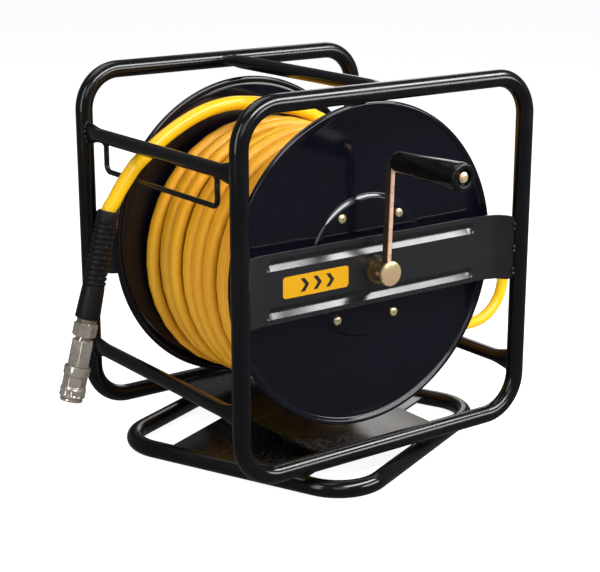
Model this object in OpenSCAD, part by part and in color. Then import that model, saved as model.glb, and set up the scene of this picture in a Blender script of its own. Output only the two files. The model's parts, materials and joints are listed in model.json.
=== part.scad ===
// Hand-cranked air hose reel: a two-loop tubular frame on a swivel base, a drum with
// 30 m of braided hose, a crank with a free-turning grip, an inlet lead and a quick coupler.
// The base stands on z = 0, the swivel axis is vertical and the drum's axle runs along Y.

/* [Frame] */
// Width of each end loop between tube centrelines
loop_w = 394; // [370:2:430]
// Height of each end loop between tube centrelines
loop_h = 400; // [390:2:430]
// Distance between the two end loops' centrelines
loop_gap = 320; // [316:2:360]
// Diameter of the loop tube
tube_d = 20; // [18:0.5:22]
// Centreline radius of the loops' bends
bend_r = 45; // [35:1:60]
// Diameter of the cross tubes and the carry handle
cross_d = 16; // [14:0.5:18]
// Diameter of the hose guide wire
wire_d = 6; // [4:0.5:7]
// Height of the pressed hub plates
hub_plate_h = 77; // [60:1:90]

/* [Base] */
// Side of the square base loop between tube centrelines
base_side = 320; // [300:2:340]
// Centreline radius of the base loop's bends
base_bend_r = 52; // [40:1:70]
// Angle of the base to the frame as it stands
base_turn = 23.4; // [0:0.1:45]

/* [Drum] */
// Outer radius of the drum's flanges
flange_r = 185; // [175:1:187]
// Height of the axle above the floor
axle_z = 235; // [233:1:238]
// Distance from the drum's middle to each flange's inner face
flange_y = 118; // [116:1:120]
// Outer radius of the drum's core
core_r = 83; // [82:0.5:90]
// Outer radius of the wound hose
pack_r = 146; // [130:1:150]

/* [Crank] */
// Distance from the axle to the grip's axis
crank_r = 125; // [100:1:130]
// Width of the crank's flat bar, across its lean
bar_w = 6; // [5:0.5:8]
// Depth of the crank's flat bar, along the axle
bar_d = 10; // [8:0.5:10]
// Angle of the crank from straight up, as it stands
crank_lean = 2; // [-10:1:10]
// Length of the grip
grip_len = 107; // [90:1:115]

/* [Hose] */
// Outer diameter of the hose
hose_d = 16.5; // [15:0.5:17]
// Angle at which the hose end leans out from the vertical
end_lean = 15; // [12:1:18]

/* [Hidden] */

$fn = 64;
steel_black = [0.06, 0.06, 0.07];
zinc = [0.78, 0.68, 0.45];
nickel = [0.70, 0.67, 0.62];
brass = [0.78, 0.62, 0.30];
hose_yellow = [0.95, 0.72, 0.10];
rubber = [0.10, 0.10, 0.11];

tube_r = tube_d / 2;
cross_r = cross_d / 2;
hose_r = hose_d / 2;
fit = 0.06;      // radial clearance of a running fit
gap = 0.05;      // clearance between fixed pieces that touch
hose_gap = 0.4;  // clearance between a fitting's face and the cut end of a hose
slack = 0.4;     // clearance between pieces that move past each other

// The base: its tube lies on the floor, and the frame's rails run above it.
base_z = tube_r;
plate_t = 3;
base_plate_z = 11;
base_plate_w = 180;
boss_top = 30;
rail_z = 36.5;
turntable_z = rail_z - 2;
turntable_w = 164;
pin_r = 6;

// Reach of the base and of the grip along Y, so that the origin is the middle of the box.
base_reach = (base_side / 2 - base_bend_r) * (cos(base_turn) + sin(base_turn))
    + base_bend_r + tube_r;
bar_y = -154.5;              // the crank bar's middle, along the axle from the drum's middle
bar_bend = 10;               // centreline radius of the bar's bend into the grip
grip_y = bar_y - bar_bend - 0.5;
mid_y = (grip_len - grip_y - base_reach) / 2;

// Cross tubes, guide wire and hub plates.
upper_cross_z = 367.5;
lower_left_z = 108.5;
lower_right_z = 93;
guide_drop = 39;
guide_front = -120;
guide_back = 110;
hub_face = 138;              // outer face of a hub plate, from the drum's middle
hub_bend_x = 156;            // where a hub plate's slight first bend starts
hub_elbow = [176.5, 5.7];    // where its second, steeper bend starts, and how far out
hub_tab_y = 22;              // how far its ends reach out from its face

// Axle, bushes and drum.
axle_r = 8;
bush_r = 11;
bush_flange_r = 15.6;
sheet_t = 1.5;
dish = 3;                    // how far the middle of a flange is pressed out
drum_turn = 2.7;             // how far the drum has turned clockwise from its screws' square
boss_r = 76;
rim_bead_r = 3.5;
screw_x = 40.4;
screw_z = 57.6;
rod_r = 4;
screw_r = 2.5;
outlet_y = 96;

// Crank.
hub_front = -164;
cap_t = 4;
bar_foot = 8;                // how far the bar reaches below the axle's centre
hub_r = 12;
spindle_r = 4;
grip_r_in = 11.5;
grip_r_out = 15.5;
recess_r = 9;
recess_depth = 5;

// Rotary inlet behind the rear hub plate.
union_y = 185;
union_r = 13;
lead_start_x = 56;
plug_turn = 173.5;           // heading of the plug on the lead's end
plug_at = [155, 239, 10.6];

// Free end of the hose: lengths down its axis from the top of the boot.
boot_at = [-234, 43, 299.5];
boot_len = 122;
boot_hose = 105;
boot_gap = 0.15;             // room between the boot's bore and the hose
ribs = 12;
nut_s = 127;
neck_s = 143;
hex_s = 147;
barrel_s = 179;
lip_s = 213.3;
end_s = 217;
barrel_r = 10.4;
socket_r = 5.9;
sleeve_s = 177;
skirt_len = 13;

// Hose routes, from the swivel axis on the floor.
free_route = [
    [12, 62, 390], [-10, 58, 394.5], [-35, 54, 399], [-60, 51, 401.5], [-85, 48, 400.5],
    [-110, 46, 395.5], [-135, 45, 386], [-155, 45, 375.5], [-171, 45, 365.5],
    [-184, 45, 355.5], [-197, 45, 345.5], [-208, 44, 334], [-218, 44, 321.5],
    [-227, 43, 309]
];
lead_route = [
    [lead_start_x, union_y, axle_z], [80, 185, 236], [120, 185, 237], [165, 185, 236],
    [210, 184, 233], [258, 183, 226], [303, 182, 216], [350, 182, 204], [395, 182.5, 189],
    [430, 183.5, 172], [460, 185, 152], [482, 186.5, 131], [498, 188, 110],
    [508.5, 189.5, 88], [512, 190, 67], [507.5, 190, 44.5], [495, 190, 26],
    [476, 190, 13], [453, 190, 8.5],
    [420, 191, 8.5], [380, 195, 8.5], [330, 205, 8.5], [280, 216, 8.5], [235, 227, 8.6],
    [195, 234.5, 9.3], [plug_at.x, plug_at.y, plug_at.z]
];

// ---------- helpers ----------

// Places children at the swivel axis, on the floor.
module at_swivel() translate([0, mid_y, 0]) children();

// Places children at the middle of the drum, with their Z along the axle towards the crank.
module on_axle() translate([0, mid_y, axle_z]) rotate([90, 0, 0]) children();

// The same with Z towards the inlet side.
module on_axle_rear() translate([0, mid_y, axle_z]) rotate([-90, 0, 0]) children();

// The four places of the tie rods and screws round the axle, seen from the crank side or,
// with flip = -1, from the inlet side.
module at_screws(flip = 1) {
    rotate(-flip * drum_turn)
        for (sx = [-1, 1], sz = [-1, 1])
            translate([sx * screw_x, sz * screw_z, 0])
                children();
}

// A closed loop of round tube around a w by h rectangle, lying flat.
module tube_loop(w, h, r, d) {
    for (side = [-1, 1]) {
        translate([-(w / 2 - r), side * h / 2, 0])
            rotate([0, 90, 0])
                cylinder(d = d, h = w - 2 * r);
        translate([side * w / 2, -(h / 2 - r), 0])
            rotate([-90, 0, 0])
                cylinder(d = d, h = h - 2 * r);
    }
    corners = [[1, 1, 0], [-1, 1, 90], [-1, -1, 180], [1, -1, 270]];
    for (c = corners)
        translate([c.x * (w / 2 - r), c.y * (h / 2 - r), 0])
            rotate([0, 0, c.z])
                rotate_extrude(angle = 90)
                    translate([r, 0])
                        circle(d = d);
}

// A tube along Y between the two end loops, coped to the tubes that it meets.
module cross_tube(x, z, upright) {
    at_swivel() difference() {
        translate([x, -loop_gap / 2, z])
            rotate([-90, 0, 0])
                cylinder(r = cross_r, h = loop_gap);
        for (side = [-1, 1])
            translate([x, side * loop_gap / 2, z])
                rotate(upright ? [0, 0, 0] : [0, 90, 0])
                    cylinder(r = tube_r + gap, h = 60, center = true);
    }
}

function lerp(a, b, t) = a + (b - a) * t;
function unit(v) = v / norm(v);

// Point at t from 0 to 1 between b and c, on a smooth curve through a, b, c and d.
function smooth_point(a, b, c, d, t) =
    0.5 * (2 * b + (c - a) * t + (2 * a - 5 * b + 4 * c - d) * t * t
        + (3 * b - a - 3 * c + d) * t * t * t);

// The route with each leg cut in two on a smooth curve.
function refined(p) = [
    for (i = [0:len(p) - 2], t = [0, 0.5])
        smooth_point(p[max(i - 1, 0)], p[i], p[i + 1], p[min(i + 2, len(p) - 1)], t),
    p[len(p) - 1]
];

// Direction of a route at its point i.
function heading(p, i) = unit(p[min(i + 1, len(p) - 1)] - p[max(i - 1, 0)]);

// A closed tube of radius r along the points p, with a ring of sides points at each.
module swept_tube(p, r, sides = 10) {
    across = [for (i = [0:len(p) - 1]) unit(cross(heading(p, i), [0, 1, 0.01]))];
    rings = [
        for (i = [0:len(p) - 1], k = [0:sides - 1])
            p[i] + r * (cos(360 * k / sides) * across[i]
                + sin(360 * k / sides) * cross(heading(p, i), across[i]))
    ];
    last = (len(p) - 1) * sides;
    faces = concat(
        [[for (k = [0:sides - 1]) k]],
        [
            for (i = [0:len(p) - 2], k = [0:sides - 1])
                let (a = i * sides + k, b = i * sides + (k + 1) % sides)
                [b, a, a + sides, b + sides]
        ],
        [[for (k = [sides - 1:-1:0]) last + k]]
    );
    polyhedron(points = rings, faces = faces, convexity = 8);
}

// A round bar along Z from z = from to z = to.
module bar_z(r, from, to) translate([0, 0, from]) cylinder(r = r, h = to - from);

// ---------- swivel base ----------

module base_loop() {
    color(steel_black)
        at_swivel() rotate(base_turn) translate([0, 0, base_z])
            tube_loop(base_side, base_side, base_bend_r, tube_d);
}

module base_plate() {
    length = base_side - tube_d - 2 * gap;
    color(steel_black)
        at_swivel() rotate(base_turn) difference() {
            translate([-length / 2, -base_plate_w / 2, base_plate_z])
                cube([length, base_plate_w, plate_t]);
            bar_z(pin_r + gap, 0, boss_top);
        }
}

// A round collar of radius r between two heights on the swivel axis.
module swivel_ring(r, from, to) {
    at_swivel() difference() {
        bar_z(r, from, to);
        bar_z(pin_r + gap, from - 1, to + 1);
    }
}

module swivel_boss() color(steel_black) swivel_ring(28, base_plate_z + plate_t, boss_top);

module thrust_washer() color("ivory") swivel_ring(26, boss_top, turntable_z - slack);

module swivel_bolt() {
    color(zinc) at_swivel() {
        bar_z(pin_r, 5, 52);
        translate([0, 0, 4])
            cylinder(r = 10.9, h = base_plate_z - 4, $fn = 6);
    }
}

module swivel_washer() {
    washer_z = turntable_z + plate_t + slack;
    color(zinc) swivel_ring(14, washer_z, washer_z + 2.4);
}

module swivel_nut() {
    nut_z = turntable_z + plate_t + slack + 2.4;
    color(zinc) at_swivel() translate([0, 0, nut_z]) difference() {
        cylinder(r = 10.9, h = 9.5, $fn = 6);
        bar_z(pin_r + gap, -1, 11);
    }
}

// ---------- tubular frame ----------

module end_loop(side) {
    color(steel_black)
        at_swivel() translate([0, side * loop_gap / 2, rail_z + loop_h / 2])
            rotate([90, 0, 0])
                tube_loop(loop_w, loop_h, bend_r, tube_d);
}

module front_loop() end_loop(-1);
module rear_loop() end_loop(1);
module handle_tube() color(steel_black) cross_tube(0, rail_z + loop_h, false);
module upper_cross_tube() color(steel_black) cross_tube(-loop_w / 2, upper_cross_z, true);
module lower_left_cross_tube() color(steel_black) cross_tube(-loop_w / 2, lower_left_z, true);
module lower_right_cross_tube() color(steel_black) cross_tube(loop_w / 2, lower_right_z, true);

// A U of round wire under the upper cross tube, with rounded corners.
module hose_guide() {
    corner = 8;
    wire_r = wire_d / 2;
    low = upper_cross_z - guide_drop;
    top = upper_cross_z - cross_r - gap;
    color(steel_black) at_swivel() translate([-loop_w / 2, 0, 0]) {
        translate([0, guide_front + corner, low])
            rotate([-90, 0, 0])
                cylinder(r = wire_r, h = guide_back - guide_front - 2 * corner);
        for (end = [[guide_front, 1], [guide_back, -1]]) {
            translate([0, end[0], low + corner])
                cylinder(r = wire_r, h = top - low - corner);
            translate([0, end[0] + end[1] * corner, low + corner])
                rotate([0, 90, 0])
                    rotate(end[1] > 0 ? -90 : 0)
                        rotate_extrude(angle = 90)
                            translate([corner, 0])
                                circle(r = wire_r);
        }
    }
}

module turntable_plate() {
    length = loop_gap - tube_d - 2 * gap;
    color(steel_black)
        at_swivel() difference() {
            translate([-turntable_w / 2, -length / 2, turntable_z])
                cube([turntable_w, length, plate_t]);
            bar_z(pin_r + fit, 0, rail_z + 10);
        }
}

// A hub plate seen from above: flat in the middle, its ends bent out twice to the uprights.
function hub_outline() =
    let (
        tip_x = loop_w / 2 - tube_r + 1,
        back = plate_t,
        half = [
            [hub_bend_x, 0], hub_elbow, [tip_x, hub_tab_y],
            [tip_x + 3, hub_tab_y - back], [hub_elbow.x + 1.7, hub_elbow.y - back],
            [hub_bend_x + 0.4, -back]
        ]
    )
    concat(half, [for (i = [len(half) - 1:-1:0]) [-half[i].x, half[i].y]]);

// One hub plate, with its flat face towards +Z at the given distance along the axle. Two
// grooves are pressed into it lengthwise.
module hub_plate() {
    groove_w = 11;
    groove_deep = 2.2;
    groove_r = (groove_w * groove_w / 4 + groove_deep * groove_deep) / (2 * groove_deep);
    groove_from = -150;
    groove_len = 285;
    difference() {
        translate([0, hub_plate_h / 2, hub_face])
            rotate([90, 0, 0])
                linear_extrude(height = hub_plate_h)
                    polygon(hub_outline());
        for (side = [-1, 1])
            translate([groove_from, side * 26, hub_face - groove_deep + groove_r])
                rotate([0, 90, 0])
                    cylinder(r = groove_r, h = groove_len);
        for (side = [-1, 1])
            translate([side * loop_w / 2, 60, loop_gap / 2])
                rotate([90, 0, 0])
                    cylinder(r = tube_r + gap, h = 120);
        bar_z(bush_r + gap, hub_face - 20, hub_face + 20);
    }
}

module front_hub_plate() color(steel_black) on_axle() hub_plate();

module rear_hub_plate() color(steel_black) on_axle_rear() hub_plate();

// A flanged bush, pressed into a hub plate from outside.
module bush() {
    difference() {
        union() {
            bar_z(bush_r, hub_face - 10, hub_face + 1);
            bar_z(bush_flange_r, hub_face, hub_face + 5);
        }
        bar_z(axle_r + fit, hub_face - 20, hub_face + 20);
    }
}

module front_bush() color(zinc) on_axle() bush();

module rear_bush() color(zinc) on_axle_rear() bush();

module hub_label() {
    w = 88;
    h = 24;
    r = 4;
    color(hose_yellow) on_axle()
        translate([-84, -1, hub_face + gap])
            linear_extrude(height = 0.5) {
                square([w - 2 * r, h], center = true);
                square([w, h - 2 * r], center = true);
                for (sx = [-1, 1], sy = [-1, 1])
                    translate([sx * (w / 2 - r), sy * (h / 2 - r)])
                        circle(r = r);
            }
}

// ---------- inlet, lead and plug ----------

module inlet_elbow() {
    color(brass) {
        on_axle_rear() difference() {
            bar_z(union_r, hub_face + 5 + slack, union_y + 11);
            bar_z(axle_r + fit, hub_face, 150 + slack);
        }
        at_swivel() translate([union_r - 3, union_y, axle_z])
            rotate([0, 90, 0])
                cylinder(r = 8, h = 26 - union_r);
    }
}

module lead_ferrule() {
    color(nickel)
        at_swivel() translate([26 - 3 + gap, union_y, axle_z])
            rotate([0, 90, 0])
                cylinder(r = 10, h = lead_start_x - 23 - gap - hose_gap);
}

module lead_hose() {
    color(hose_yellow) at_swivel() swept_tube(refined(lead_route), hose_r);
}

// Places children at the end of the lead, with their Z along it.
module on_lead_end() {
    at_swivel() translate(plug_at) rotate(plug_turn) rotate([0, 90, 0]) children();
}

module plug_ferrule() color(nickel) on_lead_end() bar_z(10.4, hose_gap, 28);

module inlet_plug() {
    color(nickel) on_lead_end() {
        translate([0, 0, 28 + gap])
            cylinder(r = 10.5, h = 11, $fn = 6);
        bar_z(7.5, 38, 44);
        bar_z(socket_r - fit, 43, 62);
    }
}

// ---------- free hose end and coupler ----------

// Places children at the top of the boot, with their Z down the hose's axis.
module on_hose_end() {
    at_swivel() translate(boot_at) rotate([180, end_lean, 0]) children();
}

module free_hose() {
    down = [-sin(end_lean), 0, -cos(end_lean)];
    tail = [for (s = [0, 25, 65, boot_hose]) boot_at + down * s];
    color(hose_yellow) at_swivel() swept_tube(concat(refined(free_route), tail), hose_r);
}

module hose_boot() {
    rib_from = 14;
    pitch = 70 / ribs;
    rib_points = [
        for (i = [0:ribs - 1], p = [[0.1, 11.3], [0.35, 12.9], [0.65, 12.9], [0.9, 11.3]])
            [p[1], rib_from + (i + p[0]) * pitch]
    ];
    outside = concat(
        [[12, 0], [12.5, 1], [12.6, rib_from]],
        rib_points,
        [[12.8, rib_from + ribs * pitch + 2], [13.5, boot_len]]
    );
    color(rubber) on_hose_end()
        rotate_extrude()
            polygon(concat([[hose_r + boot_gap, 0]], outside, [
                [8.6, boot_len], [8.6, boot_hose + 1], [hose_r + boot_gap, boot_hose + 1]
            ]));
}

module coupler_stem() {
    color(nickel) on_hose_end() {
        bar_z(8.5, boot_hose + 1.5, nut_s + 2);
        bar_z(11, boot_len + gap, nut_s - gap);
    }
}

module coupler_nut() {
    color(nickel) on_hose_end() difference() {
        translate([0, 0, nut_s])
            cylinder(r = 12.3, h = neck_s - nut_s, $fn = 6);
        bar_z(8.5 + gap, nut_s - 1, nut_s + 2 + gap);
    }
}

module coupler_body() {
    color(nickel) on_hose_end() difference() {
        union() {
            bar_z(9, neck_s + gap, hex_s);
            translate([0, 0, hex_s])
                cylinder(r = 12.7, h = barrel_s - hex_s, $fn = 6);
            bar_z(barrel_r, barrel_s, end_s);
            bar_z(12.6, lip_s, end_s);
        }
        bar_z(socket_r, end_s - 20, end_s + 1);
        bar_z(4, hex_s, end_s - 10);
    }
}

module coupler_sleeve() {
    color(nickel) on_hose_end() difference() {
        bar_z(14.5, sleeve_s, lip_s - slack);
        bar_z(13.3, sleeve_s - 1, sleeve_s + skirt_len);
        bar_z(barrel_r + fit, sleeve_s, lip_s + 1);
    }
}

// ---------- drum ----------

// One pressed flange with its inner face at flange_y and a rolled edge.
module flange(flip) {
    outer = flange_r - rim_bead_r;
    translate([0, 0, flange_y]) difference() {
        union() {
            rotate_extrude($fn = 128)
                polygon([
                    [axle_r + gap, dish], [boss_r, dish], [boss_r + 5, 0], [outer, 0],
                    [outer, sheet_t], [boss_r + 5.6, sheet_t], [boss_r + 0.6, dish + sheet_t],
                    [axle_r + gap, dish + sheet_t]
                ]);
            rotate_extrude($fn = 128)
                translate([outer, sheet_t])
                    circle(r = rim_bead_r, $fn = 32);
        }
        at_screws(flip) cylinder(r = screw_r + gap, h = 10);
    }
}

module front_flange() color(steel_black) on_axle() flange(1);

module rear_flange() color(steel_black) on_axle_rear() flange(-1);

module drum_core() {
    color(steel_black) on_axle() difference() {
        bar_z(core_r, -flange_y + gap, flange_y - gap);
        bar_z(core_r - sheet_t, -flange_y - 1, flange_y + 1);
        translate([0, 0, -outlet_y])
            rotate([-90, 0, 0])
                cylinder(r = hose_r + 1, h = core_r + 5);
    }
}

module tie_rods() {
    reach = flange_y + dish - gap;
    color(zinc) on_axle() at_screws() difference() {
        bar_z(rod_r, -reach, reach);
        bar_z(screw_r + gap, reach - 14, reach + 1);
        bar_z(screw_r + gap, -reach - 1, -reach + 14);
    }
}

// Four pan-head screws through one flange into the tie rods.
module screws(flip) {
    seat = flange_y + dish + sheet_t + gap;
    at_screws(flip) {
        bar_z(screw_r, seat - 14, seat + 1);
        difference() {
            bar_z(5, seat, seat + 3.4);
            for (turn = [0, 90])
                rotate(turn)
                    translate([-2.4, -0.5, seat + 1.6])
                        cube([4.8, 1, 3]);
        }
    }
}

module front_screws() color(zinc) on_axle() screws(1);

module rear_screws() color(zinc) on_axle_rear() screws(-1);

module axle() {
    color(nickel) on_axle() difference() {
        bar_z(axle_r, -150, 148.5);
        bar_z(4, -151, -outlet_y + 4);
        translate([0, 0, -outlet_y])
            rotate([-90, 0, 0])
                cylinder(r = 3.5, h = 20);
    }
}

// Carries the air from the hollow axle to the hose's inner end, through the core.
module outlet_elbow() {
    color(brass) on_axle() translate([0, 0, -outlet_y]) difference() {
        union() {
            bar_z(13, -9, 9);
            rotate([-90, 0, 0])
                cylinder(r = hose_r - 2, h = core_r - 2 * sheet_t);
        }
        bar_z(axle_r + gap, -20, 20);
        rotate([-90, 0, 0])
            cylinder(r = 4, h = core_r);
    }
}

module wound_hose() {
    half = flange_y - rim_bead_r + sheet_t - 0.5;
    color(hose_yellow) on_axle() difference() {
        bar_z(pack_r, -half, half);
        bar_z(core_r + 0.3, -half - 1, half + 1);
    }
}

// ---------- crank ----------

// Places children on the axle with the crank's lean, Y up along the bar.
module on_crank() on_axle() rotate(-crank_lean) children();

module crank_hub() {
    color(zinc) on_crank() difference() {
        union() {
            bar_z(hub_r, hub_face + 5 + slack, -hub_front - 1);
            bar_z(hub_r + 2, -hub_front - cap_t, -hub_front);
        }
        bar_z(axle_r + gap, hub_face, 148.5 + gap);
        translate([-bar_w / 2 - gap, -bar_foot - gap, -bar_y - bar_d / 2 - gap])
            cube([bar_w + 2 * gap, 40, bar_d + 2 * gap]);
        translate([-hub_r - 3, 0, -bar_y])
            rotate([0, 90, 0])
                cylinder(r = 2 + gap, h = hub_r);
    }
}

module crank_screw() {
    color(zinc) on_crank()
        translate([-hub_r - 1.4, 0, -bar_y])
            rotate([0, 90, 0])
                cylinder(r = 2, h = hub_r - bar_w / 2 + 1.4 - 2 * gap);
}

module crank_arm() {
    color(zinc) on_crank() {
        translate([-bar_w / 2, -bar_foot, -bar_y - bar_d / 2])
            cube([bar_w, crank_r - bar_bend + bar_foot, bar_d]);
        translate([0, crank_r - bar_bend, -bar_y + bar_bend])
            rotate([0, 90, 0])
                rotate_extrude(angle = 90)
                    translate([bar_bend - bar_d / 2, -bar_w / 2])
                        square([bar_d, bar_w]);
        translate([0, crank_r, 0])
            bar_z(spindle_r, -bar_y + bar_bend, -grip_y + grip_len - recess_depth + slack);
    }
}

module grip_rivet() {
    head = -grip_y + grip_len - recess_depth + slack;
    color(zinc) on_crank()
        translate([0, crank_r, 0]) {
            bar_z(5.6, head, head + 2);
            bar_z(4.6, head + 1, head + 3.2);
        }
}

module crank_grip() {
    color(rubber) on_crank()
        translate([0, crank_r, -grip_y])
            rotate_extrude()
                polygon([
                    [spindle_r + fit, 0], [grip_r_in - 2, 0], [grip_r_in, 2],
                    [grip_r_in + 0.6, 20], [grip_r_out - 0.4, grip_len - 22],
                    [grip_r_out, grip_len - 5], [grip_r_out - 1, grip_len - 1.2],
                    [grip_r_out - 2.6, grip_len], [recess_r, grip_len],
                    [recess_r, grip_len - recess_depth],
                    [spindle_r + fit, grip_len - recess_depth]
                ]);
}

base_loop();
base_plate();
swivel_boss();
thrust_washer();
swivel_bolt();
swivel_washer();
swivel_nut();
front_loop();
rear_loop();
handle_tube();
upper_cross_tube();
lower_left_cross_tube();
lower_right_cross_tube();
hose_guide();
turntable_plate();
front_hub_plate();
rear_hub_plate();
front_bush();
rear_bush();
hub_label();
inlet_elbow();
lead_ferrule();
lead_hose();
plug_ferrule();
inlet_plug();
free_hose();
hose_boot();
coupler_stem();
coupler_nut();
coupler_body();
coupler_sleeve();
front_flange();
rear_flange();
drum_core();
tie_rods();
front_screws();
rear_screws();
axle();
outlet_elbow();
wound_hose();
crank_hub();
crank_screw();
crank_arm();
grip_rivet();
crank_grip();
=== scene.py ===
import json
import math

import bpy
from mathutils import Matrix, Vector, noise


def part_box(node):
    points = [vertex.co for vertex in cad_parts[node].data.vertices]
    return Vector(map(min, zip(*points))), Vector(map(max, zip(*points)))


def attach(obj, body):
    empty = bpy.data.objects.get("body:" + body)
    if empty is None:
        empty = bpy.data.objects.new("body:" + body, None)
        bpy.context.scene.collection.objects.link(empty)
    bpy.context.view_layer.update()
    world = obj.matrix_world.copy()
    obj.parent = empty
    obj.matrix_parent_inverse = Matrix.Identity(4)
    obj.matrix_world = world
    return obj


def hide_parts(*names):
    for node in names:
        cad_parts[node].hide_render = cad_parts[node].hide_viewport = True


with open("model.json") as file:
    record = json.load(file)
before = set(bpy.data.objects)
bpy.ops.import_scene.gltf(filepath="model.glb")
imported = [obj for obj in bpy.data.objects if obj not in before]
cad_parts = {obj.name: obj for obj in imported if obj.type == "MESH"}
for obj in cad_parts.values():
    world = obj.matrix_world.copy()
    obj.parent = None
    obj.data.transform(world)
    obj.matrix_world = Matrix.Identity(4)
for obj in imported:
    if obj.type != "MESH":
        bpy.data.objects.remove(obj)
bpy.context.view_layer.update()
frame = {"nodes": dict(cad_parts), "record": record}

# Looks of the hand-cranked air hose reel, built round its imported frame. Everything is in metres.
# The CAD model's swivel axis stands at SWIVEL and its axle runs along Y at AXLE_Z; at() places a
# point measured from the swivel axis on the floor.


def centre(node):
    low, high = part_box(node)
    return (low + high) / 2


SWIVEL = centre("swivel_boss")
AXLE_Z = centre("front_flange").z


def at(x, y, z):
    return Vector((SWIVEL.x + x, SWIVEL.y + y, z))


# ---------- sizes, as in the CAD model ----------

LOOP_X = 0.197
LOOP_Y = 0.160
TUBE_R = 0.010
CROSS_R = 0.008
TOP_Z = 0.4365
UPPER_Z = 0.3675
LOWER_LEFT_Z = 0.1085
LOWER_RIGHT_Z = 0.093
PLATE_HALF = 0.150
HUB_FACE = 0.138
HUB_HALF_H = 0.0385
HUB_END = 0.188
FLANGE_R = 0.185
FLANGE_Y = 0.118
SHEET = 0.0015
CRANK_R = 0.125
CRANK_LEAN = math.radians(2)
BAR_Y = 0.1545
BAR_BEND = 0.010
GRIP_FROM = 0.165
GRIP_LENGTH = 0.107
HOSE_D = 0.0165
HOSE_R = HOSE_D / 2
END_LEAN = math.radians(15)
BASE_TURN = math.radians(23.4)

BOOT_TOP = at(-0.234, 0.043, 0.2995)
FREE_ROUTE = [
    (0.012, 0.062, 0.390), (-0.010, 0.058, 0.3945), (-0.035, 0.054, 0.399),
    (-0.060, 0.051, 0.4015), (-0.085, 0.048, 0.4005), (-0.110, 0.046, 0.3955),
    (-0.135, 0.045, 0.386), (-0.155, 0.045, 0.3755), (-0.171, 0.045, 0.3655),
    (-0.184, 0.045, 0.3555), (-0.197, 0.045, 0.3455), (-0.208, 0.044, 0.334),
    (-0.218, 0.044, 0.3215), (-0.227, 0.043, 0.309),
]
LEAD_ROUTE = [
    (0.056, 0.185, 0.235), (0.080, 0.185, 0.236), (0.120, 0.185, 0.237),
    (0.165, 0.185, 0.236), (0.210, 0.184, 0.233), (0.258, 0.183, 0.226),
    (0.303, 0.182, 0.216), (0.350, 0.182, 0.204), (0.395, 0.1825, 0.189),
    (0.430, 0.1835, 0.172), (0.460, 0.185, 0.152), (0.482, 0.1865, 0.131),
    (0.498, 0.188, 0.110), (0.5085, 0.1895, 0.088), (0.512, 0.190, 0.067),
    (0.5075, 0.190, 0.0445), (0.495, 0.190, 0.026), (0.476, 0.190, 0.013),
    (0.453, 0.190, 0.0085), (0.420, 0.191, 0.0085), (0.380, 0.195, 0.0085),
    (0.330, 0.205, 0.0085), (0.280, 0.216, 0.0085), (0.235, 0.227, 0.0086),
    (0.195, 0.2345, 0.0093), (0.155, 0.239, 0.0106),
]
PLUG_TURN = math.radians(173.5)

# ---------- local frames ----------

FRONT = Matrix.Translation(at(0, 0, AXLE_Z)) @ Matrix(
    ((1, 0, 0, 0), (0, 0, -1, 0), (0, 1, 0, 0), (0, 0, 0, 1)))
REAR = Matrix.Translation(at(0, 0, AXLE_Z)) @ Matrix(
    ((-1, 0, 0, 0), (0, 0, 1, 0), (0, 1, 0, 0), (0, 0, 0, 1)))
CRANK = FRONT @ Matrix.Rotation(-CRANK_LEAN, 4, "Z")
GRIP_AXIS = CRANK @ Matrix.Translation((0, CRANK_R, 0))


def frame_along(origin, direction, side=(0, 1, 0)):
    """A frame at origin whose local Z runs along direction, with local Y near side."""
    z = Vector(direction).normalized()
    x = Vector(side).cross(z).normalized()
    y = z.cross(x)
    turned_to = Matrix((x, y, z)).transposed().to_4x4()
    return Matrix.Translation(origin) @ turned_to


HOSE_END = frame_along(BOOT_TOP, (-math.sin(END_LEAN), 0, -math.cos(END_LEAN)))
LEAD_END = frame_along(at(*LEAD_ROUTE[-1]), (math.cos(PLUG_TURN), math.sin(PLUG_TURN), 0),
                       (0, 0, 1))
UNION_PORT = frame_along(at(0, 0.185, AXLE_Z), (1, 0, 0), (0, 0, 1))

# ---------- geometry ----------


def lerp(a, b, t):
    return a + (b - a) * t


def ease(t):
    t = min(1.0, max(0.0, t))
    return t * t * (3 - 2 * t)


def wave(value, seed=0.0):
    """Smooth noise from -1 to 1, the same on each run."""
    return noise.noise(Vector((value, seed, 0.37 * seed)))


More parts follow.
